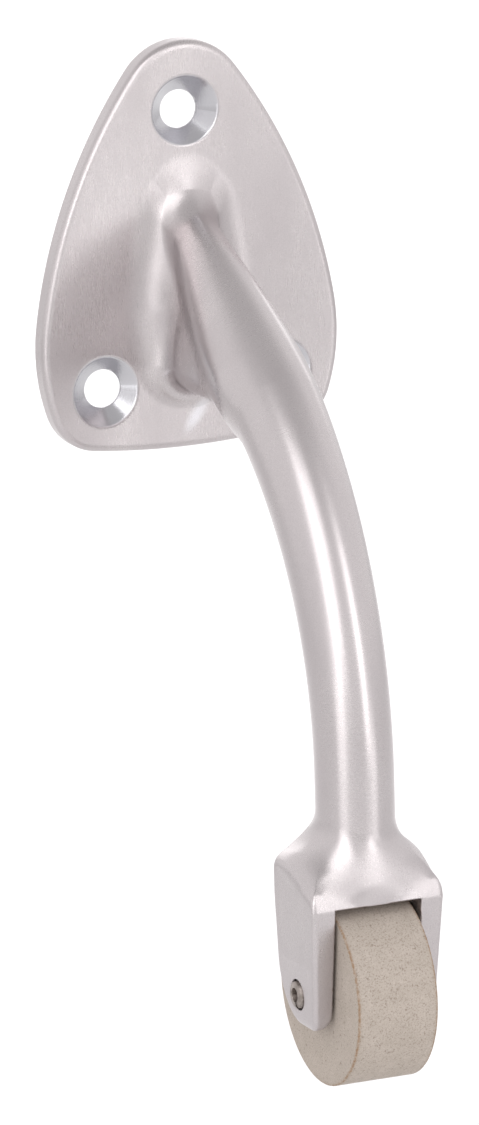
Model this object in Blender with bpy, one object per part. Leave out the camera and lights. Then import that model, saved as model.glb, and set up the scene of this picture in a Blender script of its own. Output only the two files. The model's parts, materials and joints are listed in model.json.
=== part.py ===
"""Curved-arm roller stop: a cast plate, arm and fork in one piece, with a rubber roller on a cross pin.

Metres, +Z up.  The back of the plate lies in the plane y = 0, the arm reaches out towards -Y and
down, and the roller turns about an axis along X.  The origin is on the plate's back face.
"""
import math

import bmesh
import bpy
from mathutils import Vector

# --- plate: half outline as tangent arcs, from the top of the tip round to the middle of the foot
PLATE_TOP = 0.0334
PLATE_THICKNESS = 0.0040
PLATE_EDGE_RADIUS = 0.0012
TIP_RADIUS = 0.0117
UPPER_SIDE_RADIUS = 0.0925
LOWER_SIDE_RADIUS = 0.0350
CORNER_RADIUS = 0.0092
OUTLINE_NORMALS = (90.0, 37.0, 8.5, -18.5, -81.7, -90.0)   # degrees from +X where the arcs meet

# --- screw holes, countersunk from the front
HOLES = ((0.0, 0.0212), (-0.0154, -0.0255), (0.0154, -0.0255))
BORE_RADIUS = 0.0033
SINK_RADIUS = 0.00605
SINK_DEPTH = 0.0031

# --- arm: circular arc in the plane x = 0 that ends upright above the fork
ARC_CENTRE = (0.0054, -0.0800)        # y, z
ARC_RADIUS = 0.0720
ARC_SPAN = 52.0                       # degrees, measured up from the fork end
ARM_RADIUS_FORK = 0.0066
ARM_RADIUS_ROOT = 0.0077

# --- root: the arm runs on straight from the arc and tapers into the plate, over a fin
TAIL_RADIUS = 0.0032
TAIL_LENGTH = 0.0420
TAIL_TAPER = 1.6                      # above one, the taper is strongest next to the plate
ROOT_TOP_FILLET = 0.0055
ROOT_FOOT_FILLET = 0.0045
ROOT_FOOT = -0.0310
ROOT_SIDE_FILLET = 0.0060
ROOT_HALF_WIDTH = 0.0048
ROOT_BLEND = 0.0300                   # reach of the curve under the root, out from the plate
ROOT_START = -0.0010                  # the loft begins inside the plate

# --- fork
FORK_HALF_WIDTH = 0.0119
FORK_FRONT = -0.07545
FORK_FRONT_LOW = -0.0728
FORK_BACK = -0.0582
FORK_BOTTOM = -0.1213
FORK_END_RADII = (0.0078, 0.0110)     # y and z half axes of the rounded back corner of each ear
FORK_TOE_RADIUS = 0.0020
FORK_CORNER = 0.0010
NECK_START = -0.0858
NECK_FILLET = 0.0066
NECK_ANGLE = 58.0
NECK_LENGTH = 0.0110
SLOT_HALF_WIDTH = 0.00775
SLOT_TOP = -0.1001
SLOT_RELIEF_RADIUS = 0.0170
SLOT_CUTTER_DEPTH = 0.0400
SLOT_CUTTER_HEIGHT = 0.0300

# --- roller, its bushing and the cross pin
AXLE = (0.0, -0.0663, -0.1161)
EAR_BORE_RADIUS = 0.0026
ROLLER_RADIUS = 0.015875
ROLLER_HALF_WIDTH = 0.0072
ROLLER_RIM_RADIUS = 0.0004
ROLLER_BORE_RADIUS = 0.0045
BUSHING_RADIUS = 0.0042
BUSHING_BORE_RADIUS = 0.0026
BUSHING_HALF_LENGTH = 0.0075
PIN_RADIUS = 0.0023
PIN_BORE_RADIUS = 0.0013
PIN_HALF_LENGTH = 0.0113
PIN_CHAMFER = 0.0004
PIN_SLOT_WIDTH = 0.0007

CORNER_STEPS = 9
ROUND = 0.999                         # corner radius of a round ring, against its half size


def clear_scene():
    for obj in list(bpy.data.objects):
        bpy.data.objects.remove(obj, do_unlink=True)


def principled(name, colour, metallic, roughness):
    material = bpy.data.materials.new(name)
    material.use_nodes = True
    shader = material.node_tree.nodes["Principled BSDF"]
    shader.inputs["Base Color"].default_value = (*colour, 1.0)
    shader.inputs["Metallic"].default_value = metallic
    shader.inputs["Roughness"].default_value = roughness
    return material


def add_object(name, bm, material=None, smooth=40.0):
    bmesh.ops.recalc_face_normals(bm, faces=bm.faces[:])
    mesh = bpy.data.meshes.new(name)
    bm.to_mesh(mesh)
    bm.free()
    if material:
        mesh.materials.append(material)
    mesh.shade_smooth()
    mesh.set_sharp_from_angle(angle=math.radians(smooth))
    obj = bpy.data.objects.new(name, mesh)
    bpy.context.scene.collection.objects.link(obj)
    return obj


def boolean(target, cutter, operation):
    cutter.hide_render = True
    cutter.display_type = "WIRE"
    modifier = target.modifiers.new(cutter.name, "BOOLEAN")
    modifier.operation = operation
    modifier.solver = "EXACT"
    modifier.object = cutter


def plate_half_outline(degrees_per_step=6.0):
    """Points (x, z) with x >= 0; the last arc's radius closes the outline on the middle line."""
    normals = [math.radians(a) for a in OUTLINE_NORMALS]
    radii = [TIP_RADIUS, UPPER_SIDE_RADIUS, LOWER_SIDE_RADIUS, CORNER_RADIUS]
    x = sum(r * (math.cos(b) - math.cos(a)) for r, a, b in zip(radii, normals, normals[1:]))
    radii.append(x / math.cos(normals[-2]))
    points = [(0.0, PLATE_TOP)]
    for radius, start, end in zip(radii, normals, normals[1:]):
        x0, z0 = points[-1]
        step = math.radians(degrees_per_step if radius < 0.02 else degrees_per_step / 3)
        count = max(2, round(abs(end - start) / step))
        for i in range(1, count + 1):
            a = start + (end - start) * i / count
            points.append((x0 + radius * (math.cos(a) - math.cos(start)),
                           z0 + radius * (math.sin(a) - math.sin(start))))
    return points


def make_plate(material):
    right = plate_half_outline()
    outline = right + [(-x, z) for x, z in reversed(right[1:-1])]
    bm = bmesh.new()
    back = bm.faces.new([bm.verts.new((x, 0.0, z)) for x, z in outline])
    swept = bmesh.ops.extrude_face_region(bm, geom=[back])["geom"]
    front = [v for v in swept if isinstance(v, bmesh.types.BMVert)]
    bmesh.ops.translate(bm, verts=front, vec=(0.0, -PLATE_THICKNESS, 0.0))
    rim = [e for e in bm.edges if all(v.co.y < -PLATE_THICKNESS / 2 for v in e.verts)]
    bmesh.ops.bevel(bm, geom=rim, offset=PLATE_EDGE_RADIUS, segments=3, profile=0.5, affect="EDGES")
    return add_object("body_casting", bm, material)


def resample(points, count):
    """The same path through count points at equal distances along it."""
    lengths = [0.0]
    for a, b in zip(points, points[1:]):
        lengths.append(lengths[-1] + math.dist(a, b))
    path = []
    for i in range(count):
        s = lengths[-1] * i / (count - 1)
        k = max(j for j in range(len(points) - 1) if lengths[j] <= s + 1e-12)
        t = (s - lengths[k]) / (lengths[k + 1] - lengths[k])
        path.append(tuple(p + (q - p) * t for p, q in zip(points[k], points[k + 1])))
    return path


def arc_point(radius, degrees):
    a = math.radians(degrees)
    return (ARC_CENTRE[0] - radius * math.cos(a), ARC_CENTRE[1] + radius * math.sin(a))


def arm_radius(degrees):
    return ARM_RADIUS_FORK + (ARM_RADIUS_ROOT - ARM_RADIUS_FORK) * (degrees / ARC_SPAN) ** 2


def root_half_width(y):
    """Half width of the root: the fin's and its side fillet by the plate, the arm's at the arc."""
    reach = -PLATE_THICKNESS - y
    drop = min(ROOT_SIDE_FILLET, max(0.0, ROOT_SIDE_FILLET - reach))
    fillet = ROOT_SIDE_FILLET - math.sqrt(ROOT_SIDE_FILLET ** 2 - drop ** 2)
    out = -PLATE_THICKNESS - arc_point(ARC_RADIUS, ARC_SPAN)[0]
    blend = min(1.0, max(0.0, reach) / out)
    return ROOT_HALF_WIDTH + fillet + (ARM_RADIUS_ROOT - ROOT_HALF_WIDTH) * blend


def root_top(y):
    """Height of the tail's crest, with the fillet that runs up from it to the plate's face."""
    start_y, start_z = arc_point(ARC_RADIUS, ARC_SPAN)
    slope = math.radians(90.0 - ARC_SPAN)
    along = max(0.0, (y - start_y) / math.cos(slope) / TAIL_LENGTH)
    radius = ARM_RADIUS_ROOT - (ARM_RADIUS_ROOT - TAIL_RADIUS) * along ** TAIL_TAPER
    drop = min(ROOT_TOP_FILLET, max(0.0, ROOT_TOP_FILLET + PLATE_THICKNESS + y))
    fillet = ROOT_TOP_FILLET - math.sqrt(ROOT_TOP_FILLET ** 2 - drop ** 2)
    return start_z + (y - start_y) * math.tan(slope) + radius / math.cos(slope) + fillet


def root_foot(y):
    """Height of the underside where it turns down into the plate's face."""
    centre_y = -PLATE_THICKNESS - ROOT_FOOT_FILLET
    return ROOT_FOOT + math.sqrt(max(0.0, ROOT_FOOT_FILLET ** 2 - (y - centre_y) ** 2))


def ring(top, foot, half_width, corner_x, corner_v):
    """Rounded rectangle between two points (y, z) of the middle plane, as 3-D points."""
    mid = Vector((0.0, (top[0] + foot[0]) / 2, (top[1] + foot[1]) / 2))
    up = Vector((0.0, top[0] - foot[0], top[1] - foot[1]))
    half_height = up.length / 2
    up.normalize()
    points = []
    for sx, sv, start in ((1, 1, 0), (-1, 1, 90), (-1, -1, 180), (1, -1, 270)):
        for i in range(CORNER_STEPS):
            a = math.radians(start + 90.0 * i / (CORNER_STEPS - 1))
            x = sx * (half_width - corner_x) + corner_x * math.cos(a)
            v = sv * (half_height - corner_v) + corner_v * math.sin(a)
            points.append(mid + Vector((x, 0.0, 0.0)) + up * v)
    return points


def round_ring(top, foot, half_width):
    """Ring with full half rounds at its two ends."""
    half_height = math.dist(top, foot) / 2
    return ring(top, foot, half_width, half_width * ROUND, min(half_height, half_width) * ROUND)


def root_foot_path(start, count):
    """Underside from the foot's fillet out to the arc, as a smooth cubic."""
    end = arc_point(ARC_RADIUS - ARM_RADIUS_ROOT, ARC_SPAN)
    lean = math.radians(ARC_SPAN)
    path = []
    for i in range(count):
        t = i / (count - 1)
        leave, arrive = t ** 3 - 2 * t ** 2 + t, t ** 3 - t ** 2
        rest = 3 * t ** 2 - 2 * t ** 3
        y = (1 - rest) * start - leave * ROOT_BLEND + rest * end[0] - arrive * ROOT_BLEND * math.sin(lean)
        z = (1 - rest) * root_foot(start) + rest * end[1] - arrive * ROOT_BLEND * math.cos(lean)
        path.append((y, z))
    return path


def root_rings():
    """Rings from inside the plate out to where the arm's arc begins."""
    face = -PLATE_THICKNESS
    turn = face - ROOT_FOOT_FILLET
    rings = [round_ring((ROOT_START, root_top(face)), (ROOT_START, root_foot(face)),
                        root_half_width(face))]
    for i in range(6):
        y = face + (turn - face) * i / 5
        rings.append(round_ring((y, root_top(y)), (y, root_foot(y)), root_half_width(y)))
    end_y = arc_point(ARC_RADIUS + ARM_RADIUS_ROOT, ARC_SPAN)[0]
    top_path = []
    for i in range(21):
        y = turn + (end_y - turn) * i / 20
        top_path.append((y, root_top(y)))
    foot_path = root_foot_path(turn, 31)
    for top, foot in list(zip(resample(top_path, 9), resample(foot_path, 9)))[1:]:
        rings.append(round_ring(top, foot, root_half_width((top[0] + foot[0]) / 2)))
    return rings


def arm_rings():
    rings = []
    for i in range(1, 10):
        degrees = ARC_SPAN * (1 - i / 9)
        r = arm_radius(degrees)
        rings.append(round_ring(arc_point(ARC_RADIUS + r, degrees), arc_point(ARC_RADIUS - r, degrees), r))
    return rings


def fork_front(z):
    arm_front = ARC_CENTRE[0] - ARC_RADIUS - ARM_RADIUS_FORK
    t = min(1.0, max(0.0, (NECK_START - z) / NECK_LENGTH))
    blend = t * t * (3 - 2 * t)
    low = min(1.0, max(0.0, (SLOT_TOP - z) / (SLOT_TOP - FORK_BOTTOM)))
    y = arm_front + (FORK_FRONT - arm_front) * blend + (FORK_FRONT_LOW - FORK_FRONT) * low
    toe = z - FORK_BOTTOM
    if toe < FORK_TOE_RADIUS:
        y += FORK_TOE_RADIUS - math.sqrt(FORK_TOE_RADIUS ** 2 - (FORK_TOE_RADIUS - toe) ** 2)
    return y


def fork_back(z):
    arm_back = ARC_CENTRE[0] - ARC_RADIUS + ARM_RADIUS_FORK
    t = min(1.0, max(0.0, (NECK_START - z) / NECK_LENGTH))
    y = arm_back + (FORK_BACK - arm_back) * t * t * (3 - 2 * t)
    half_y, half_z = FORK_END_RADII
    drop = min(1.0, max(0.0, (FORK_BOTTOM + half_z - z) / half_z))
    return y - half_y * (1 - math.sqrt(1 - drop ** 2))


def neck_profile():
    """(half width, z) down the shoulder: a concave fillet, then a rounded top corner."""
    turn = math.radians(NECK_ANGLE)
    profile = [(ARM_RADIUS_FORK + NECK_FILLET * (1 - math.cos(turn * i / 6)),
                NECK_START - NECK_FILLET * math.sin(turn * i / 6)) for i in range(7)]
    width, z = profile[-1]
    shoulder = (FORK_HALF_WIDTH - width) / (1 - math.cos(turn))
    for i in range(1, 6):
        a = turn * (1 - i / 5)
        profile.append((FORK_HALF_WIDTH - shoulder * (1 - math.cos(a)),
                        z - shoulder * (math.sin(turn) - math.sin(a))))
    return profile


def fork_rings():
    profile = neck_profile()
    last = profile[-1][1]
    half_z = FORK_END_RADII[1]
    profile += [(FORK_HALF_WIDTH, z) for z in (SLOT_TOP, FORK_BOTTOM + half_z)]
    profile += [(FORK_HALF_WIDTH, FORK_BOTTOM + half_z * (1 - math.sin(math.radians(a))))
                for a in (20, 36, 50, 62, 72, 80, 85, 88, 90)]
    rings = []
    for width, z in profile:
        front, back = fork_front(z), fork_back(z)
        t = min(1.0, max(0.0, (NECK_START - z) / (NECK_START - last)))
        blend = t * t * (3 - 2 * t)
        corner_x = width * ROUND + (FORK_CORNER - width) * blend
        half_depth = (back - front) / 2
        corner_y = half_depth * ROUND + (FORK_CORNER - half_depth) * blend
        rings.append(ring((front, z), (back, z), width, corner_x, min(corner_y, half_depth * ROUND)))
    return rings


def make_arm():
    """Loft of the root, the arm and the fork block as one closed body."""
    bm = bmesh.new()
    previous = None
    for points in root_rings() + arm_rings() + fork_rings():
        verts = [bm.verts.new(p) for p in points]
        if previous:
            for i in range(len(verts)):
                j = (i + 1) % len(verts)
                bm.faces.new((previous[i], previous[j], verts[j], verts[i]))
        else:
            bm.faces.new(verts)
        previous = verts
    bm.faces.new(list(reversed(previous)))
    return add_object("arm_loft", bm)


def turned(profile, axis, steps=40):
    """Closed body turned from (distance along the axis, radius) pairs round an axis through 0."""
    bm = bmesh.new()
    loop = []
    for along, radius in profile:
        co = (along, radius, 0.0) if axis == "X" else (radius, along, 0.0)
        loop.append(bm.verts.new(co))
    edges = [bm.edges.new(pair) for pair in zip(loop, loop[1:] + loop[:1])]
    vector = (1.0, 0.0, 0.0) if axis == "X" else (0.0, 1.0, 0.0)
    bmesh.ops.spin(bm, geom=loop + edges, cent=(0, 0, 0), axis=vector, angle=math.tau, steps=steps,
                   use_merge=True)
    bmesh.ops.remove_doubles(bm, verts=bm.verts[:], dist=1e-7)
    loose = [e for e in bm.edges if not e.link_faces]
    bmesh.ops.delete(bm, geom=loose, context="EDGES")
    return bm


def make_countersink(index, x, z):
    over = 0.001
    slope = (SINK_RADIUS - BORE_RADIUS) / SINK_DEPTH
    profile = [(over, 0.0), (over, BORE_RADIUS), (SINK_DEPTH - PLATE_THICKNESS, BORE_RADIUS),
               (-PLATE_THICKNESS - over, SINK_RADIUS + slope * over), (-PLATE_THICKNESS - over, 0.0)]
    cutter = add_object(f"screw_hole_{index}", turned(profile, "Y"))
    cutter.location = (x, 0.0, z)
    return cutter


def make_pin_bore():
    length = FORK_HALF_WIDTH + 0.002
    profile = [(-length, 0.0), (-length, EAR_BORE_RADIUS), (length, EAR_BORE_RADIUS), (length, 0.0)]
    cutter = add_object("pin_bore", turned(profile, "X"))
    cutter.location = AXLE
    return cutter


def make_slot_relief():
    profile = [(-SLOT_HALF_WIDTH, 0.0), (-SLOT_HALF_WIDTH, SLOT_RELIEF_RADIUS),
               (SLOT_HALF_WIDTH, SLOT_RELIEF_RADIUS), (SLOT_HALF_WIDTH, 0.0)]
    cutter = add_object("slot_relief", turned(profile, "X", steps=72))
    cutter.location = AXLE
    return cutter


def make_slot():
    bm = bmesh.new()
    bmesh.ops.create_cube(bm, size=1.0)
    size = (2 * SLOT_HALF_WIDTH, SLOT_CUTTER_DEPTH, SLOT_CUTTER_HEIGHT)
    bmesh.ops.scale(bm, vec=size, verts=bm.verts[:])
    cutter = add_object("fork_slot", bm)
    cutter.location = (0.0, AXLE[1], SLOT_TOP - SLOT_CUTTER_HEIGHT / 2)
    return cutter


def make_casting():
    metal = principled("satin_metal", (0.78, 0.76, 0.77), 1.0, 0.32)
    casting = make_plate(metal)
    boolean(casting, make_arm(), "UNION")
    boolean(casting, make_slot(), "DIFFERENCE")
    boolean(casting, make_slot_relief(), "DIFFERENCE")
    boolean(casting, make_pin_bore(), "DIFFERENCE")
    for index, (x, z) in enumerate(HOLES, start=1):
        boolean(casting, make_countersink(index, x, z), "DIFFERENCE")
    return casting


def make_roller():
    """Rubber tyre with softly rounded rims; its origin is on the axle."""
    rubber = principled("grey_rubber", (0.50, 0.47, 0.43), 0.0, 0.75)
    half, radius, rim = ROLLER_HALF_WIDTH, ROLLER_RADIUS, ROLLER_RIM_RADIUS
    profile = [(-half, ROLLER_BORE_RADIUS), (half, ROLLER_BORE_RADIUS)]
    for i in range(4):
        a = math.radians(30.0 * i)
        profile.append((half - rim + rim * math.cos(a), radius - rim + rim * math.sin(a)))
    profile += [(-x, r) for x, r in reversed(profile[2:])]
    roller = add_object("rubber_roller", turned(profile, "X", steps=72), rubber)
    roller.location = AXLE
    return roller


def make_bushing():
    """Plain sleeve bonded inside the roller, a little longer than it so that it takes the side play."""
    steel = principled("bushing_metal", (0.55, 0.53, 0.50), 1.0, 0.45)
    half = BUSHING_HALF_LENGTH
    profile = [(-half, BUSHING_BORE_RADIUS), (half, BUSHING_BORE_RADIUS), (half, BUSHING_RADIUS),
               (-half, BUSHING_RADIUS)]
    bushing = add_object("roller_bushing", turned(profile, "X", steps=40), steel)
    bushing.location = AXLE
    return bushing


def make_pin():
    """Rolled spring pin: a tube with chamfered ends and a slit along its length."""
    steel = principled("pin_steel", (0.36, 0.33, 0.31), 1.0, 0.5)
    half, outer, inner, chamfer = PIN_HALF_LENGTH, PIN_RADIUS, PIN_BORE_RADIUS, PIN_CHAMFER
    profile = [(-half, inner), (half, inner), (half, outer - chamfer), (half - chamfer, outer),
               (chamfer - half, outer), (-half, outer - chamfer)]
    pin = add_object("axle_pin", turned(profile, "X", steps=32), steel)
    pin.location = AXLE
    bm = bmesh.new()
    bmesh.ops.create_cube(bm, size=1.0)
    bmesh.ops.scale(bm, vec=(2.4 * half, PIN_SLOT_WIDTH, 2 * outer), verts=bm.verts[:])
    slit = add_object("pin_slit", bm)
    slit.location = (AXLE[0], AXLE[1], AXLE[2] - outer)
    boolean(pin, slit, "DIFFERENCE")
    return pin


clear_scene()
make_casting()
make_roller()
make_bushing()
make_pin()
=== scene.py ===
"""Looks of the curved-arm roller stop: satin casting, speckled rubber roller, sleeve and spring pin.

The casting is one implicit surface, written in millimetres in the row frame and meshed on a fine
lattice, so that its cast fillets and softened edges are real geometry.
"""
import json
import math

import bmesh
import bpy
import numpy as np
from mathutils import Matrix, Quaternion, Vector


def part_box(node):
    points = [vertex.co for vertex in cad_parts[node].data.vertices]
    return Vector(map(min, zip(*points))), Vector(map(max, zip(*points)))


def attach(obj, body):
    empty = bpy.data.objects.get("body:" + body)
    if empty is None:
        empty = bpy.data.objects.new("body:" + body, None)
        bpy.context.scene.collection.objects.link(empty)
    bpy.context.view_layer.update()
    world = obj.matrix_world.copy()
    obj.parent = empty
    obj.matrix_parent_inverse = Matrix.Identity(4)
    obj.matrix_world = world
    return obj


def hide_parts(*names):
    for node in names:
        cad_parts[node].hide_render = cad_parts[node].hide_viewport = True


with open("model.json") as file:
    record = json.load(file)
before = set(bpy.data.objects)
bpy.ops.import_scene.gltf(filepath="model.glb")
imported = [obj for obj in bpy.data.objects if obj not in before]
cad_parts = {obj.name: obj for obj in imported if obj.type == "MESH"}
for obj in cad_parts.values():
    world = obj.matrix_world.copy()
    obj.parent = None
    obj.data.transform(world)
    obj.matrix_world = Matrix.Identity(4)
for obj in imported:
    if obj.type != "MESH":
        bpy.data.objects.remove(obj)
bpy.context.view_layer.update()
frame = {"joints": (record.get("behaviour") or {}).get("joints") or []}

MM = 0.001

# --- places and sizes that come from the frame, in millimetres
axle = np.array(frame["joints"][0]["pos_m"]) / MM
roller_box = [np.array(corner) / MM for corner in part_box("rubber_roller")]
bushing_box = [np.array(corner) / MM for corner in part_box("roller_bushing")]
pin_box = [np.array(corner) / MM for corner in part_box("axle_pin")]
casting_box = [np.array(corner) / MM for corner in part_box("body_casting")]

# --- the casting's own sizes, in millimetres
PLATE_THICKNESS = 4.0
PLATE_RIM = 1.3
DISH, DISH_HALF = 1.6, 28.5
DISH_MIDDLE, DISH_REACH, DISH_FALL = -20.0, 54.0, 1.5
BACK_EDGE = 0.3
OUTLINE_RADII = (11.7, 92.5, 35.0, 9.2)
OUTLINE_NORMALS = (90.0, 37.0, 8.5, -18.5, -81.7, -90.0)
HOLES = ((0.0, 21.2), (15.4, -25.5))
BORE = 3.3
SINK, SINK_DEPTH, SINK_REACH, SINK_FLOOR, SINK_EDGE = 6.05, 3.1, 2.0, 0.5, 0.2

ARC_Y, ARC_Z, ARC_RADIUS, ARC_END = 5.4, -80.0, 72.0, 52.0
ARM_FORK, ARM_ROOT, ARM_TAIL = 6.6, 7.7, 2.6
TAIL_LENGTH, TAIL_TAPER, TAIL_LIMIT = 42.0, 1.6, 1.1
WEB_HALF, WEB_FILLET = 5.0, 7.2
WEB_TOP_HALF, WEB_TOP_FILLET = 3.0, 3.0
WEB_LOW, WEB_TOP = -24.0, 6.0
WEB_SPINE, WEB_CREST, WEB_NOSE = 0.3, 1.0, 3.0
ROOT_LOW, ROOT_REACH, ROOT_MIDDLE = -26.5, -36.0, -10.5
FILLET_TOP, FILLET_SIDE, FILLET_FOOT = 6.0, 8.0, 4.0

FORK_HALF = 11.9
FORK_FRONT, FORK_BACK, FORK_BOTTOM = -75.45, -58.8, -121.3
FORK_LEAN, BAND_LEAN = 0.13, 0.17
FORK_CORNER = 0.9
FORK_TOP_FACE = -92.0
EAR_HEEL, EAR_HEEL_STRETCH, EAR_TOE = 7.8, 0.709, 2.0
EAR_TAPER, INNER_TOE = 0.04, 3.0
EAR_BORE = 2.6
NECK_TOP, NECK_FILLET, NECK_ANGLE = -85.8, 6.6, 63.0
NECK_TILT, NECK_BLEND = 0.2, 7.0
BLEND_BELOW, BLEND_ABOVE = 4.0, 6.0
BLOCK_TOP, BLOCK_SLOPE, BLOCK_SOFT = -96.0, math.radians(18), 3.6
BACK_SLOPE = 0.35
SLOT_HALF, SLOT_TOP, SLOT_RELIEF = 7.75, -100.1, 17.0
SOFT_EDGE = 0.3

# --- where the casting's finish changes, and where a highlight is painted into its colour, in millimetres
ARM_BEGINS, ARM_CLEAR = 6.0, 16.0
# the hollow under the root is smoother, and its colour is lightened there as a painted highlight
HOLLOW = np.array([1.0, -6.0, -31.5])
HOLLOW_SIZE = (1.9, 5.0, 3.6)
HOLLOW_SLANT = 0.6

# --- the turned pieces' own sizes, in millimetres
ROLLER_BORE = 4.5
ROLLER_RIM = 0.35
ROLLER_BORE_EDGE = 0.3
RIM_INSET, RIM_DROP, RIM_WIDTH = 0.15, 0.1, 0.24
PITS, PIT_SIZE, PIT_DEPTH = 240, (0.25, 0.6), (0.02, 0.07)
CHIP_WAVES, CHIP_DEPTH = (17, 29, 41, 67, 97), 0.05
BUSHING_BORE = 2.6
BUSHING_CHAMFER, BUSHING_EDGE = 0.25, 0.3
PIN_BORE = 1.2
PIN_LONGER, PIN_WIDER = 0.4, 0.12
PIN_END = ((0.02, 0.55), (0.2, 0.22), (0.7, 0.04), (1.2, 0.0))
PIN_SLIT, SLIT_AT = 0.7, 250.0

# --- colours, linear
METAL_LIGHT = (0.635, 0.595, 0.598, 1)
METAL_DARK = (0.575, 0.535, 0.542, 1)
METAL_STROKE = (0.635, 0.60, 0.602, 1)
METAL_GRAIN = (0.42, 0.39, 0.395, 1)
METAL_SINK = (0.56, 0.555, 0.58, 1)
# painted highlight: the hollow's colour, lighter and bluer than the metal
METAL_PAINTED_HIGHLIGHT = (0.82, 0.82, 0.86, 1)
RUBBER_LIGHT = (0.475, 0.415, 0.365, 1)
RUBBER_DARK = (0.42, 0.365, 0.315, 1)
RUBBER_SPECK = (0.20, 0.155, 0.12, 1)
RUBBER_PALE = (0.62, 0.56, 0.50, 1)
RUBBER_RIM = (0.27, 0.165, 0.09, 1)
BUSHING_COLOURS = (0.50, 0.47, 0.42, 1), (0.36, 0.33, 0.30, 1)
PIN_COLOURS = (0.46, 0.41, 0.38, 1), (0.22, 0.19, 0.17, 1)

# --- lattice spacing in millimetres, and lattice cells along each side of a block
LATTICE = 0.32
BLOCK = 8


# ---------------------------------------------------------------- implicit shapes
def ramp(value, start, end):
    """Smooth step from 0 at start to 1 at end."""
    t = np.clip((value - start) / (end - start), 0.0, 1.0)
    return t * t * (3 - 2 * t)


def union(a, b, radius):
    """Union of two fields with a circular fillet of that radius."""
    u, v = np.maximum(radius - a, 0.0), np.maximum(radius - b, 0.0)
    return np.maximum(radius, np.minimum(a, b)) - np.hypot(u, v)


def cut(a, b, radius):
    """Where both fields are solid, with the edge between them rounded to that radius."""
    u, v = np.maximum(radius + a, 0.0), np.maximum(radius + b, 0.0)
    return np.minimum(-radius, np.maximum(a, b)) + np.hypot(u, v)


def outline_arcs():
    """Centre, radius and wedge of each tangent arc of the plate's half outline, x >= 0."""
    normals = [math.radians(a) for a in OUTLINE_NORMALS]
    width = sum(r * (math.cos(b) - math.cos(a)) for r, a, b in zip(OUTLINE_RADII, normals, normals[1:]))
    radii = list(OUTLINE_RADII) + [width / math.cos(normals[-2])]
    x, z = 0.0, casting_box[1][2]
    arcs = []
    for radius, start, end in zip(radii, normals, normals[1:]):
        cx, cz = x - radius * math.cos(start), z - radius * math.sin(start)
        arcs.append((cx, cz, radius, start, end))
        x, z = cx + radius * math.cos(end), cz + radius * math.sin(end)
    return arcs


def outline(x, z):
    """Distance from the plate's outline, negative inside it."""
    best = np.full(x.shape, -8.0)
    for cx, cz, radius, start, end in outline_arcs():
        dx, dz = x - cx, z - cz
        angle = np.arctan2(dz, dx)
        here = (angle <= start + 1e-9) & (angle >= end - 1e-9)
        best = np.where(here, np.maximum(best, np.hypot(dx, dz) - radius), best)
    return best


def face_height(x, z):
    """Height of the plate's slightly dished front face above its back."""
    hollow_polish_and_highlight = 1 - ((z - DISH_MIDDLE) / DISH_REACH) ** 2 - (x / DISH_HALF) ** 2
    return PLATE_THICKNESS - DISH * np.maximum(hollow_polish_and_highlight, 0.0) ** DISH_FALL


def plate(x, y, z):
    return cut(outline(x, z), -y - face_height(x, z), PLATE_RIM)


def along_arm(y, z):
    """Distance along the bar from the arc's foot, and distance outwards from its centreline."""
    end = math.radians(ARC_END)
    level, up = y - ARC_Y, z - ARC_Z
    angle = np.arctan2(up, -level)
    tangent = level * math.sin(end) + up * math.cos(end)
    normal = up * math.sin(end) - level * math.cos(end)
    along = np.where(angle > end, ARC_RADIUS * end + tangent, ARC_RADIUS * angle)
    off = np.where(angle > end, normal, np.hypot(level, up)) - ARC_RADIUS
    straight = up < 0
    return np.where(straight, up, along), np.where(straight, -level - ARC_RADIUS, off)


def arm(x, y, z):
    """Round bar: upright, then along an arc, then straight and tapering into the plate."""
    along, off = along_arm(y, z)
    bend = ARC_RADIUS * math.radians(ARC_END)
    radius = ARM_FORK + (ARM_ROOT - ARM_FORK) * np.clip(along / bend, 0.0, 1.0) ** 2
    tail = np.clip((along - bend) / TAIL_LENGTH, 0.0, TAIL_LIMIT)
    return np.hypot(x, off) - radius + (ARM_ROOT - ARM_TAIL) * tail ** TAIL_TAPER


def web(x, y, z):
    """Fin that fills the corner under the arm."""
    along, off = along_arm(y, z)
    half = WEB_HALF + (WEB_TOP_HALF - WEB_HALF) * ramp(z, WEB_LOW, WEB_TOP)
    fin = cut(x - half, ROOT_LOW - z, WEB_HALF - WEB_SPINE)
    return cut(cut(fin, off, WEB_CREST), ROOT_REACH - y, WEB_NOSE)


def fork_half_width(z):
    """Half width down the neck: a concave fillet, then a rounded shoulder, then straight."""
    turn = math.radians(NECK_ANGLE)
    drop = NECK_FILLET * math.sin(turn)
    width = ARM_FORK + NECK_FILLET * (1 - math.cos(turn))
    shoulder = (FORK_HALF - width) / (1 - math.cos(turn))
    end = NECK_TOP - drop - shoulder * math.sin(turn)
    down = np.clip(NECK_TOP - z, 0.0, drop)
    up = np.clip(z - end, 0.0, shoulder * math.sin(turn))
    concave = ARM_FORK + NECK_FILLET - np.sqrt(NECK_FILLET ** 2 - down ** 2)
    convex = FORK_HALF - shoulder + np.sqrt(shoulder ** 2 - up ** 2)
    return np.where(z > NECK_TOP - drop, concave, convex)


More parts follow.
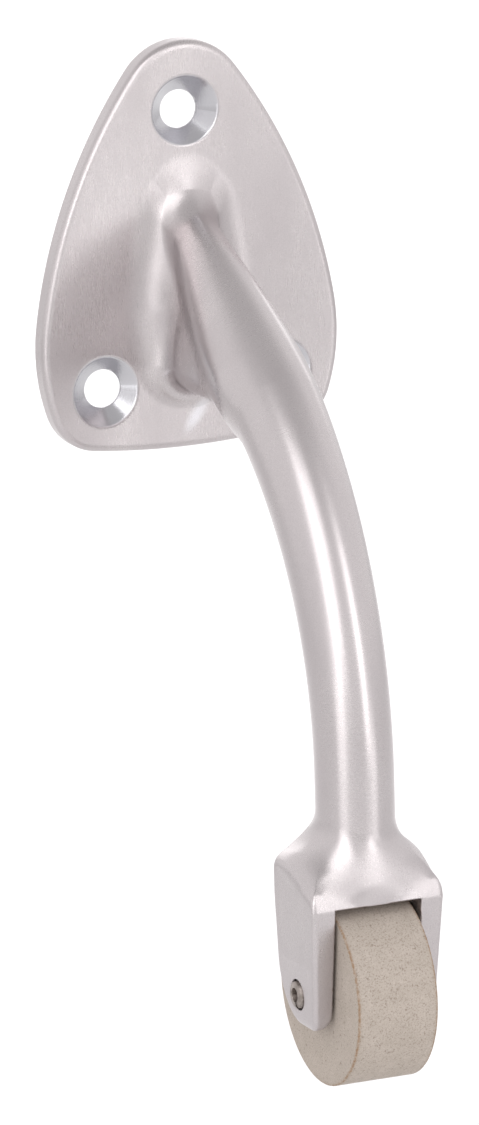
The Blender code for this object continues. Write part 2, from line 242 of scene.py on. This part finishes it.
def fork(x, y, z):
    """Ears and the block above them; the block's top slopes up and back beside the arm."""
    low = np.maximum(SLOT_TOP - z, 0.0)
    front = FORK_FRONT + FORK_LEAN * low + BAND_LEAN * np.maximum(z - SLOT_TOP, 0.0)
    half = fork_half_width(z + NECK_TILT * (y - ARC_Y + ARC_RADIUS)) - EAR_TAPER * low
    back = FORK_BACK - BACK_SLOPE * np.maximum(z - FORK_TOP_FACE, 0.0)
    top = (z - BLOCK_TOP) * math.cos(BLOCK_SLOPE) - (y - FORK_FRONT) * math.sin(BLOCK_SLOPE)
    bar = cut(x - half, np.maximum(front - y, y - back), FORK_CORNER)
    bar = cut(bar, top, BLOCK_SOFT)
    heel = cut(y - FORK_BACK, (FORK_BOTTOM - z) * EAR_HEEL_STRETCH, EAR_HEEL)
    toe = cut(front - y, FORK_BOTTOM - z, EAR_TOE)
    return cut(bar, np.maximum(heel, toe), FORK_CORNER)


def slot(x, y, z):
    """Roller slot, closed above by a curved relief and widened at the ears' inner toes."""
    relief = np.hypot(y - axle[1], z - axle[2]) - SLOT_RELIEF
    turn = np.clip(FORK_BOTTOM + INNER_TOE - z, 0.0, INNER_TOE)
    half = SLOT_HALF + INNER_TOE - np.sqrt(INNER_TOE ** 2 - turn ** 2)
    return np.maximum(x - half, np.minimum(z - SLOT_TOP, relief))


def screw_holes(x, y, z):
    """Bores with countersinks; x is the distance from the middle line, so two holes serve for three."""
    best = np.full(x.shape, 50.0)
    for hx, hz in HOLES:
        face = face_height(hx, hz)
        sink_depth = min(SINK_DEPTH, face - SINK_FLOOR)
        slope = (SINK - BORE) / sink_depth
        around = np.hypot(x - hx, z - hz)
        depth = -y - face + sink_depth
        cone = (around - BORE - slope * depth) / math.hypot(1.0, slope)
        best = np.minimum(best, np.minimum(around - BORE, cone))
    return np.maximum(best, -y - PLATE_THICKNESS - SINK_REACH)


def casting(p):
    """Field of the whole casting, negative inside, which is the same left and right."""
    x, y, z = np.abs(p[:, 0]), p[:, 1], p[:, 2]
    lift = (z - ROOT_MIDDLE) / np.maximum(np.hypot(x, z - ROOT_MIDDLE), 1e-6)
    fillet = np.where(lift > 0, FILLET_SIDE + (FILLET_TOP - FILLET_SIDE) * lift ** 4,
                      FILLET_SIDE + (FILLET_FOOT - FILLET_SIDE) * lift ** 2)
    crease = WEB_TOP_FILLET + (WEB_FILLET - WEB_TOP_FILLET) * ramp(z, WEB_TOP, WEB_LOW)
    limb = union(arm(x, y, z), web(x, y, z), crease)
    blend = NECK_BLEND * ramp(z, SLOT_TOP - BLEND_BELOW, SLOT_TOP + BLEND_ABOVE) + SOFT_EDGE
    limb = union(np.maximum(limb, SLOT_TOP - 1.0 - z), fork(x, y, z), blend)
    body = cut(union(plate(x, y, z), limb, fillet), y, BACK_EDGE)
    body = cut(body, -slot(x, y, z), SOFT_EDGE)
    bore = np.hypot(y - axle[1], z - axle[2]) - EAR_BORE
    body = cut(body, -bore, SOFT_EDGE)
    return cut(body, -screw_holes(x, y, z), SINK_EDGE)


# ---------------------------------------------------------------- meshing a field
def gradient(field, p, h=0.01):
    """Slope of the field at each point, by central differences."""
    g = np.empty_like(p)
    for axis in range(3):
        step = np.zeros(3)
        step[axis] = h
        g[:, axis] = (field(p + step) - field(p - step)) / (2 * h)
    return g


def settle(field, p, limit, rounds=3):
    """Moves points along the field's slope onto its surface."""
    for _ in range(rounds):
        g = gradient(field, p)
        move = (field(p) / np.maximum((g ** 2).sum(1), 0.2))[:, None] * g
        length = np.linalg.norm(move, axis=1, keepdims=True)
        p = p - move * np.minimum(1.0, limit / np.maximum(length, 1e-9))
    return p


def surface_net(field, low, high, step):
    """Vertices and quads of the surface field = 0, found in the blocks of a lattice that it crosses."""
    counts = np.ceil((high - low) / (step * BLOCK)).astype(int)
    blocks = np.stack(np.meshgrid(*[np.arange(n) for n in counts], indexing="ij"), -1).reshape(-1, 3)
    near = np.abs(field(low + (blocks + 0.5) * step * BLOCK)) < step * BLOCK * 1.35
    blocks = blocks[near] * BLOCK
    offsets = np.stack(np.meshgrid(*[np.arange(BLOCK + 1)] * 3, indexing="ij"), -1).reshape(-1, 3)
    values = np.concatenate([field((low + (chunk[:, None] + offsets) * step).reshape(-1, 3))
                             for chunk in np.array_split(blocks, max(1, len(blocks) // 400))])
    values = values.reshape(-1, BLOCK + 1, BLOCK + 1, BLOCK + 1)
    corners = [(i, j, k) for i in (0, 1) for j in (0, 1) for k in (0, 1)]
    inside = values < 0
    tally = sum(inside[:, i:i + BLOCK, j:j + BLOCK, k:k + BLOCK].astype(np.int8) for i, j, k in corners)
    where = np.argwhere((tally > 0) & (tally < 8))
    cells = blocks[where[:, 0]] + where[:, 1:]
    block, i, j, k = where.T
    at = {c: values[block, i + c[0], j + c[1], k + c[2]] for c in corners}
    total, hits = np.zeros((len(cells), 3)), np.zeros(len(cells))
    for c in corners:
        for axis in range(3):
            if c[axis]:
                continue
            d = tuple(v + (n == axis) for n, v in enumerate(c))
            crossing = (at[c] < 0) != (at[d] < 0)
            t = np.where(crossing, at[c] / np.where(crossing, at[c] - at[d], 1.0), 0.0)
            point = np.array(c)[None] + t[:, None] * (np.arange(3) == axis)
            total += np.where(crossing[:, None], point, 0.0)
            hits += crossing
    verts = low + (cells + total / hits[:, None]) * step
    span = counts * BLOCK + 2
    codes = (cells[:, 0] * span[1] + cells[:, 1]) * span[2] + cells[:, 2]
    order = np.argsort(codes)
    strides = np.array([span[1] * span[2], span[2], 1])
    quads = []
    for axis in range(3):
        u, v = (axis + 1) % 3, (axis + 2) % 3
        d = tuple(int(n == axis) for n in range(3))
        first, second = at[(0, 0, 0)] < 0, at[d] < 0
        for solid, flip in ((first & ~second, False), (~first & second, True)):
            base = codes[solid]
            ring = [base, base - strides[u], base - strides[u] - strides[v], base - strides[v]]
            quad = np.stack([order[np.searchsorted(codes, r, sorter=order)] for r in ring], 1)
            quads.append(quad[:, ::-1] if flip else quad)
    return verts, np.concatenate(quads)


def relax(field, verts, quads, step):
    """Evens out the quads, keeping them on the surface."""
    for _ in range(2):
        total, hits = np.zeros_like(verts), np.zeros(len(verts))
        for i in range(4):
            a, b = quads[:, i], quads[:, (i + 1) % 4]
            for one, other in ((a, b), (b, a)):
                for n in range(3):
                    total[:, n] += np.bincount(one, verts[other, n], len(verts))
                hits += np.bincount(one, minlength=len(verts))
        mean = total / np.maximum(hits, 1)[:, None]
        g = gradient(field, verts)
        g /= np.maximum(np.linalg.norm(g, axis=1, keepdims=True), 1e-9)
        move = (mean - verts) * 0.6
        verts = verts + move - (move * g).sum(1, keepdims=True) * g
        verts = settle(field, verts, step * 0.5, rounds=2)
    return verts


def mesh_of_field(name, field, low, high, step):
    """Smooth object on the surface field = 0, whose normals come from the field itself."""
    verts, quads = surface_net(field, low, high, step)
    verts = settle(field, verts, step * 0.5)
    verts = relax(field, verts, quads, step)
    mesh = bpy.data.meshes.new(name)
    mesh.from_pydata((verts * MM).tolist(), [], quads.tolist())
    mesh.validate()
    mesh.shade_smooth()
    g = gradient(field, verts, 0.03)
    g /= np.maximum(np.linalg.norm(g, axis=1, keepdims=True), 1e-9)
    mesh.normals_split_custom_set_from_vertices(g.tolist())
    obj = bpy.data.objects.new(name, mesh)
    bpy.context.scene.collection.objects.link(obj)
    return obj


# ---------------------------------------------------------------- mesh data for the shaders
def add_attribute(mesh, name, kind, values):
    data = mesh.attributes.new(name, kind, "POINT").data
    data.foreach_set("value" if kind == "FLOAT" else "vector", np.asarray(values, dtype=np.float32).ravel())


def mark_brushing(mesh, points):
    """Stores, for each point, where it lies along and round the arm, how it was finished, and where a
    highlight is painted in the hollow under the root.
    """
    x, y, z = points.T
    along, off = along_arm(y, z)
    around = np.arctan2(x, off) * ARM_ROOT
    angle = np.clip(along / ARC_RADIUS, 0.0, math.radians(ARC_END))
    on_arm = ramp(-y, ARM_BEGINS, ARM_CLEAR) * ramp(z, FORK_TOP_FACE - 3.0, FORK_TOP_FACE + 6.0)
    axis = np.stack([np.zeros_like(x), np.sin(angle), np.cos(angle)], 1)
    level = np.tile([1.0, 0.0, 0.0], (len(x), 1))
    level[(z < FORK_TOP_FACE) & (np.abs(x) > FORK_HALF - 0.4)] = (0.0, 1.0, 0.0)
    stretch = axis * on_arm[:, None] + level * (1 - on_arm[:, None])
    stretch /= np.maximum(np.linalg.norm(stretch, axis=1, keepdims=True), 1e-6)
    sinks = np.clip(-screw_holes(np.abs(x), y, z) + 0.12, 0.0, 0.12) / 0.12
    # mask of the hollow under the root: smoother finish, and a painted highlight in the colour
    from_hollow = points - HOLLOW
    from_hollow[:, 0] -= HOLLOW_SLANT * from_hollow[:, 2]
    hollow_polish_and_highlight = 1 - ramp(np.linalg.norm(from_hollow / HOLLOW_SIZE, axis=1), 0.3, 1.3)
    add_attribute(mesh, "arm_place", "FLOAT_VECTOR", np.stack([along, around, x * 0], 1) * MM)
    add_attribute(mesh, "stretch", "FLOAT_VECTOR", stretch)
    add_attribute(mesh, "on_arm", "FLOAT", on_arm)
    add_attribute(mesh, "sink", "FLOAT", sinks)
    add_attribute(mesh, "hollow_polish_and_highlight", "FLOAT", hollow_polish_and_highlight)


# ---------------------------------------------------------------- materials
class Graph:
    """Short-hand for wiring a material's nodes."""

    def __init__(self, name):
        self.material = bpy.data.materials.new(name)
        self.material.use_nodes = True
        self.nodes = self.material.node_tree.nodes
        self.links = self.material.node_tree.links
        self.shader = self.nodes["Principled BSDF"]

    def add(self, kind, **settings):
        node = self.nodes.new("ShaderNode" + kind)
        for key, value in settings.items():
            setattr(node, key, value)
        return node

    def feed(self, socket, value):
        if isinstance(value, bpy.types.NodeSocket):
            self.links.new(value, socket)
        else:
            socket.default_value = value

    def attribute(self, name):
        return self.add("Attribute", attribute_name=name)

    def place(self):
        return self.add("TexCoord").outputs["Object"]

    def scaled(self, vector, scale, turn=(0.0, 0.0, 0.0)):
        node = self.add("Mapping")
        self.feed(node.inputs["Vector"], vector)
        node.inputs["Scale"].default_value = scale
        node.inputs["Rotation"].default_value = [math.radians(a) for a in turn]
        return node.outputs["Vector"]

    def noise(self, vector, scale=1.0, detail=2.0, rough=0.5):
        node = self.add("TexNoise")
        self.feed(node.inputs["Vector"], vector)
        node.inputs["Scale"].default_value = scale
        node.inputs["Detail"].default_value = detail
        node.inputs["Roughness"].default_value = rough
        return node.outputs["Fac"]

    def math(self, operation, a, b=0.0, clamp=False):
        node = self.add("Math", operation=operation, use_clamp=clamp)
        self.feed(node.inputs[0], a)
        self.feed(node.inputs[1], b)
        return node.outputs[0]

    def spread(self, value, low, high, out_low=0.0, out_high=1.0):
        node = self.add("MapRange")
        for socket, v in zip(node.inputs, (value, low, high, out_low, out_high)):
            self.feed(socket, v)
        return node.outputs["Result"]

    def blend(self, factor, a, b):
        node = self.add("Mix", data_type="FLOAT")
        for key, v in (("Factor", factor), ("A", a), ("B", b)):
            self.feed(next(i for i in node.inputs if i.name == key and i.type == "VALUE"), v)
        return next(o for o in node.outputs if o.type == "VALUE")

    def tint(self, factor, a, b):
        node = self.add("Mix", data_type="RGBA")
        self.feed(next(i for i in node.inputs if i.name == "Factor" and i.type == "VALUE"), factor)
        for key, v in (("A", a), ("B", b)):
            self.feed(next(i for i in node.inputs if i.name == key and i.type == "RGBA"), v)
        return next(o for o in node.outputs if o.type == "RGBA")

    def bump(self, height, distance, strength=1.0, normal=None):
        node = self.add("Bump")
        self.feed(node.inputs["Height"], height)
        node.inputs["Distance"].default_value = distance
        node.inputs["Strength"].default_value = strength
        if normal:
            self.feed(node.inputs["Normal"], normal)
        return node.outputs["Normal"]


def satin_metal():
    """Belt-brushed satin plate: strokes round the arm, upright strokes on the flats, bright sinks, and a
    smoother hollow under the root with a painted highlight in its colour.
    """
    g = Graph("satin_metal")
    arm_place = g.attribute("arm_place").outputs["Vector"]
    on_arm = g.attribute("on_arm").outputs["Fac"]
    sink = g.attribute("sink").outputs["Fac"]
    hollow_polish_and_highlight = g.attribute("hollow_polish_and_highlight").outputs["Fac"]
    place = g.place()
    strokes_a = g.noise(g.scaled(arm_place, (4200, 620, 1), (0, 0, 24)), detail=3, rough=0.6)
    strokes_b = g.noise(g.scaled(arm_place, (3300, 380, 1), (0, 0, -16)), detail=3, rough=0.6)
    round_arm = g.math("MULTIPLY", g.math("ADD", strokes_a, strokes_b), 0.5)
    flats = g.noise(g.scaled(place, (5200, 5200, 330)), detail=3, rough=0.6)
    strokes = g.blend(on_arm, flats, round_arm)
    grain = g.noise(place, 5200, detail=2, rough=0.6)
    cloud = g.noise(g.scaled(place, (90, 90, 45)), detail=3, rough=0.55)
    bright = g.math("MAXIMUM", sink, hollow_polish_and_highlight)
    base = g.tint(g.spread(cloud, 0.3, 0.7), METAL_LIGHT, METAL_DARK)
    base = g.tint(g.spread(strokes, 0.35, 0.75, 0.0, 0.35), base, METAL_STROKE)
    base = g.tint(g.spread(grain, 0.38, 0.62, 0.0, 0.30), base, METAL_GRAIN)
    base = g.tint(sink, base, METAL_SINK)
    # painted highlight: lighter, bluer colour in the hollow under the root
    base = g.tint(hollow_polish_and_highlight, base, METAL_PAINTED_HIGHLIGHT)
    g.feed(g.shader.inputs["Base Color"], base)
    rough = g.spread(strokes, 0.3, 0.7, 0.255, 0.315)
    rough = g.math("ADD", rough, g.spread(cloud, 0.3, 0.7, -0.02, 0.03))
    g.feed(g.shader.inputs["Roughness"], g.blend(bright, rough, 0.16))
    relief = g.bump(strokes, 0.000012, 1.0)
    relief = g.bump(grain, 0.000006, 1.0, relief)
    g.feed(g.shader.inputs["Normal"], relief)
    g.shader.inputs["Metallic"].default_value = 1.0
    g.feed(g.shader.inputs["Anisotropic"], g.blend(on_arm, 0.85, 0.55))
    g.feed(g.shader.inputs["Tangent"], g.attribute("stretch").outputs["Vector"])
    return g.material


def grey_rubber():
    """Speckled grey-beige rubber with a scorched moulding line at each rim."""
    g = Graph("grey_rubber")
    place = g.place()
    rim = g.attribute("rim").outputs["Fac"]
    mottle = g.noise(place, 330, detail=4, rough=0.6)
    grit = g.noise(place, 3600, detail=3, rough=0.7)
    base = g.tint(g.spread(mottle, 0.3, 0.7), RUBBER_DARK, RUBBER_LIGHT)
    base = g.tint(g.spread(grit, 0.47, 0.33, 0.0, 0.62), base, RUBBER_SPECK)
    base = g.tint(g.spread(grit, 0.55, 0.70, 0.0, 0.4), base, RUBBER_PALE)
    flecks = g.noise(place, 1500, detail=2, rough=0.6)
    base = g.tint(g.spread(flecks, 0.64, 0.70, 0.0, 0.55), base, RUBBER_SPECK)
    broken = g.spread(g.noise(place, 2200, detail=3), 0.35, 0.6, 0.3, 1.0)
    base = g.tint(g.math("MULTIPLY", rim, broken, clamp=True), base, RUBBER_RIM)
    g.feed(g.shader.inputs["Base Color"], base)
    g.feed(g.shader.inputs["Roughness"], g.spread(mottle, 0.3, 0.7, 0.72, 0.86))
    fine = g.bump(grit, 0.00009, 0.9)
    g.feed(g.shader.inputs["Normal"], g.bump(mottle, 0.0001, 0.5, fine))
    g.shader.inputs["Specular IOR Level"].default_value = 0.3
    return g.material


def turned_metal(name, light, dark, low, high):
    """Dull turned or drawn steel with lengthwise marks and a little staining."""
    g = Graph(name)
    place = g.place()
    marks = g.noise(g.scaled(place, (500, 4000, 4000)), detail=3, rough=0.6)
    stain = g.noise(place, 800, detail=4, rough=0.6)
    g.feed(g.shader.inputs["Base Color"], g.tint(g.spread(stain, 0.35, 0.65), light, dark))
    g.feed(g.shader.inputs["Roughness"], g.spread(marks, 0.3, 0.7, low, high))
    g.feed(g.shader.inputs["Normal"], g.bump(marks, 0.00001, 1.0))
    g.shader.inputs["Metallic"].default_value = 1.0
    return g.material


# ---------------------------------------------------------------- pieces
def place_piece(obj, body, node, material):
    """Hands the piece to its body, in the place of its CAD node."""
    obj.data.materials.append(material)
    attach(obj, body)
    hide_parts(node)


def make_casting():
    """The whole casting as one fine skin, marked for its finish."""
    margin = 2.0
    obj = mesh_of_field("casting_shell", casting, casting_box[0] - margin, casting_box[1] + margin, LATTICE)
    points = np.empty(len(obj.data.vertices) * 3)
    obj.data.vertices.foreach_get("co", points)
    mark_brushing(obj.data, points.reshape(-1, 3) / MM)
    place_piece(obj, "frame_body", "body_casting", satin_metal())


def revolve(profile, steps, start=0.0, end=360.0):
    """Closed body from a closed profile of (x, radius) in millimetres, turned about the axle.

    A turn short of 360 degrees leaves a slit, and its two ends are closed.
    """
    whole = end - start >= 360.0
    angles = np.radians(start + (end - start) * np.arange(steps + (0 if whole else 1)) / steps)
    profile = np.array(profile)
    n, m = len(angles), len(profile)
    points = np.empty((n, m, 3))
    points[..., 0] = profile[:, 0]
    points[..., 1] = profile[:, 1] * np.cos(angles)[:, None]
    points[..., 2] = profile[:, 1] * np.sin(angles)[:, None]
    faces = []
    for i in range(n if whole else n - 1):
        j = (i + 1) % n
        for k in range(m):
            q = (k + 1) % m
            faces.append((i * m + k, i * m + q, j * m + q, j * m + k))
    if not whole:
        faces.append(tuple(reversed(range(m))))
        faces.append(tuple((n - 1) * m + k for k in range(m)))
    return points.reshape(-1, 3), faces


def finish_piece(name, points, faces, angle=35.0):
    """Object on the axle, with edges sharper than the angle left hard."""
    mesh = bpy.data.meshes.new(name)
    mesh.from_pydata(((points + axle) * MM).tolist(), [], [tuple(f) for f in faces])
    bm = bmesh.new()
    bm.from_mesh(mesh)
    bmesh.ops.recalc_face_normals(bm, faces=bm.faces[:])
    bm.to_mesh(mesh)
    bm.free()
    mesh.shade_smooth()
    mesh.set_sharp_from_angle(angle=math.radians(angle))
    obj = bpy.data.objects.new(name, mesh)
    bpy.context.scene.collection.objects.link(obj)
    return obj


def arc(cx, cr, radius, start, end, count):
    """Points on a corner arc of a profile, as (x, radius from the axle)."""
    a = np.radians(np.linspace(start, end, count))
    return [(cx + radius * math.cos(t), cr + radius * math.sin(t)) for t in a]


def make_roller():
    """Rubber tyre: flat tread, small worn rims, and shallow pits pressed into the mesh."""
    half, radius = roller_box[1][0], (roller_box[1][1] - roller_box[0][1]) / 2
    side = np.linspace(ROLLER_BORE + ROLLER_BORE_EDGE, radius - ROLLER_RIM - 0.25, 30)
    tread = np.linspace(half - ROLLER_RIM - 0.1, ROLLER_RIM + 0.1 - half, 40)
    profile = [(half - ROLLER_BORE_EDGE, ROLLER_BORE)]
    profile += [(half, r) for r in side]
    profile += arc(half - ROLLER_RIM, radius - ROLLER_RIM, ROLLER_RIM, 0, 90, 5)
    profile += [(x, radius) for x in tread]
    profile += arc(ROLLER_RIM - half, radius - ROLLER_RIM, ROLLER_RIM, 90, 180, 5)
    profile += [(-half, r) for r in side[::-1]]
    profile += [(ROLLER_BORE_EDGE - half, ROLLER_BORE)]
    points, faces = revolve(profile, 300)
    rng = np.random.default_rng(7)
    around = np.hypot(points[:, 1], points[:, 2])
    out = np.stack([np.zeros(len(points)), points[:, 1] / around, points[:, 2] / around], 1)
    turn = np.arctan2(points[:, 2], points[:, 1])
    on_tread = around > radius - 0.02
    for _ in range(PITS):
        at, where = rng.uniform(-half, half), rng.uniform(-math.pi, math.pi)
        size, depth = rng.uniform(*PIT_SIZE), rng.uniform(*PIT_DEPTH)
        gap = (turn - where + math.pi) % math.tau - math.pi
        far = np.hypot(points[:, 0] - at, gap * radius) / size
        points -= out * (depth * np.exp(-far ** 2) * on_tread)[:, None]
    from_rim = np.hypot(np.abs(points[:, 0]) - half + RIM_INSET, around - radius + RIM_DROP)
    rim = np.exp(-(from_rim / RIM_WIDTH) ** 2)
    chips = sum(np.sin(turn * k + rng.uniform(0, 6)) for k in CHIP_WAVES) / len(CHIP_WAVES)
    points -= out * (CHIP_DEPTH * np.maximum(chips, 0.0) * rim)[:, None]
    obj = finish_piece("roller_tyre", points, faces, 50.0)
    add_attribute(obj.data, "rim", "FLOAT", rim)
    place_piece(obj, "roller_body", "rubber_roller", grey_rubber())


def make_bushing():
    """Plain sleeve with a chamfered bore and rounded ends."""
    half, outer = bushing_box[1][0], (bushing_box[1][1] - bushing_box[0][1]) / 2
    profile = [(half - BUSHING_CHAMFER, BUSHING_BORE)]
    profile += [(half, BUSHING_BORE + BUSHING_CHAMFER)]
    profile += arc(half - BUSHING_EDGE, outer - BUSHING_EDGE, BUSHING_EDGE, 0, 90, 4)
    profile += [(-x, r) for x, r in reversed(profile)]
    points, faces = revolve(profile, 96)
    obj = finish_piece("bushing_sleeve", points, faces)
    metal = turned_metal("bushing_metal", *BUSHING_COLOURS, 0.3, 0.45)
    place_piece(obj, "roller_body", "roller_bushing", metal)


def make_pin():
    """Rolled spring pin with a lengthwise slit and rounded, drawn-in ends."""
    half = pin_box[1][0] + PIN_LONGER
    outer = (pin_box[1][1] - pin_box[0][1]) / 2 + PIN_WIDER
    profile = [(half - 0.15, PIN_BORE), (half, PIN_BORE + 0.05)]
    profile += [(half - short, outer - narrow) for short, narrow in PIN_END]
    profile += [(-x, r) for x, r in reversed(profile)]
    half_slit = math.degrees(PIN_SLIT / 2 / outer)
    points, faces = revolve(profile, 80, SLIT_AT + half_slit, SLIT_AT + 360.0 - half_slit)
    obj = finish_piece("spring_pin", points, faces)
    metal = turned_metal("pin_steel", *PIN_COLOURS, 0.3, 0.48)
    place_piece(obj, "frame_body", "axle_pin", metal)


make_casting()
make_roller()
make_bushing()
make_pin()


# ---------------------------------------------------------------- stage
CAMERA_AZIMUTH, CAMERA_ELEVATION, CAMERA_ROLL = -23.4, 13.7, 1.6
CAMERA_DISTANCE = 1.5
CAMERA_LENS = 285.9
CAMERA_PIVOT = Vector((0.0, -0.030, -0.050))
CAMERA_OFFSET = (3.38 * MM, 1.46 * MM)
FLOOR, FLOOR_REACH = -0.30, 12.0
LIGHT_DISTANCE = 0.9
BACKLIGHT_PLACE, BACKLIGHT_SIZE, BACKLIGHT_POWER = (0.6, 1.4, 0.15), (1.0, 2.1), 4.5
SKY_COLOUR = (1.0, 0.985, 0.99, 1)
SKY_LEVEL, SKY_ZENITH = 1.0, 0.66
FADE_FROM, FADE_TO = 0.55, 0.97


def make_camera():
    """Camera aimed by bearing, height and roll, and set off its pivot to frame the object."""
    a, e, r = (math.radians(v) for v in (CAMERA_AZIMUTH, CAMERA_ELEVATION, CAMERA_ROLL))
    back = Vector((math.sin(a) * math.cos(e), -math.cos(a) * math.cos(e), math.sin(e)))
    right = Vector((math.cos(a), math.sin(a), 0.0))
    up = back.cross(right)
    right, up = (right * math.cos(r) - up * math.sin(r), right * math.sin(r) + up * math.cos(r))
    camera = bpy.data.objects.new("camera", bpy.data.cameras.new("camera"))
    camera.data.lens = CAMERA_LENS
    camera.data.sensor_width = 36.0
    camera.data.clip_end = 10.0
    camera.matrix_world = Matrix((right, up, back)).transposed().to_4x4()
    aim = CAMERA_PIVOT - right * CAMERA_OFFSET[0] - up * CAMERA_OFFSET[1]
    camera.location = aim + back * CAMERA_DISTANCE
    bpy.context.scene.collection.objects.link(camera)
    bpy.context.scene.camera = camera


def make_light(name, azimuth, elevation, width, height, radiance, turn=0.0):
    """Rectangular softbox facing the object; bearing, width, height and turn in degrees of view."""
    a, e = math.radians(azimuth), math.radians(elevation)
    bearing = Vector((math.sin(a) * math.cos(e), -math.cos(a) * math.cos(e), math.sin(e)))
    data = bpy.data.lights.new(name, "AREA")
    data.shape = "RECTANGLE"
    data.size = 2 * LIGHT_DISTANCE * math.tan(math.radians(width / 2))
    data.size_y = 2 * LIGHT_DISTANCE * math.tan(math.radians(height / 2))
    data.energy = radiance * math.pi * data.size * data.size_y
    light = bpy.data.objects.new(name, data)
    light.location = CAMERA_PIVOT + bearing * LIGHT_DISTANCE
    facing = (-bearing).to_track_quat("-Z", "Y")
    light.rotation_euler = (facing @ Quaternion((0, 0, 1), math.radians(turn))).to_euler()
    bpy.context.scene.collection.objects.link(light)


def make_backlight():
    """Lamp over the floor behind the object, which keeps the backdrop white."""
    data = bpy.data.lights.new("backlight", "AREA")
    data.shape = "RECTANGLE"
    data.size, data.size_y = BACKLIGHT_SIZE
    data.energy = BACKLIGHT_POWER
    lamp = bpy.data.objects.new("backlight", data)
    lamp.location = BACKLIGHT_PLACE
    lamp.rotation_euler = (0.0, 0.0, math.radians(CAMERA_AZIMUTH))
    bpy.context.scene.collection.objects.link(lamp)


def make_world():
    """Even pale surround that dims towards the zenith."""
    world = bpy.data.worlds.new("studio")
    world.use_nodes = True
    nodes, links = world.node_tree.nodes, world.node_tree.links
    place = nodes.new("ShaderNodeTexCoord")
    split = nodes.new("ShaderNodeSeparateXYZ")
    fade = nodes.new("ShaderNodeMapRange")
    links.new(place.outputs["Generated"], split.inputs["Vector"])
    links.new(split.outputs["Z"], fade.inputs["Value"])
    fade.interpolation_type = "SMOOTHSTEP"
    fade.inputs["From Min"].default_value = FADE_FROM
    fade.inputs["From Max"].default_value = FADE_TO
    fade.inputs["To Min"].default_value = SKY_LEVEL
    fade.inputs["To Max"].default_value = SKY_ZENITH
    sky = nodes["Background"]
    sky.inputs["Color"].default_value = SKY_COLOUR
    links.new(fade.outputs["Result"], sky.inputs["Strength"])
    bpy.context.scene.world = world


def make_floor():
    """Plain pale floor well below the object."""
    mesh = bpy.data.meshes.new("floor")
    corners = [(x * FLOOR_REACH, y * FLOOR_REACH, FLOOR) for x, y in ((-1, -1), (1, -1), (1, 1), (-1, 1))]
    mesh.from_pydata(corners, [], [(0, 1, 2, 3)])
    floor = bpy.data.objects.new("floor", mesh)
    g = Graph("floor_paint")
    haze = g.noise(g.place(), 1.5, detail=2)
    g.feed(g.shader.inputs["Base Color"], g.tint(haze, (0.90, 0.90, 0.90, 1), (0.93, 0.93, 0.93, 1)))
    g.shader.inputs["Roughness"].default_value = 0.9
    mesh.materials.append(g.material)
    bpy.context.scene.collection.objects.link(floor)


make_camera()
make_world()
make_floor()
make_light("key_left", -38, 34, 30, 44, 1.55)
make_light("strip_left", -51, -3, 20, 42, 1.0, -30)
make_light("strip_right", 22, 16, 14, 46, 1.7, -6)
make_light("low_right", 34, -22, 16, 32, 1.1)
make_backlight()
bpy.context.scene.view_settings.view_transform = "Standard"
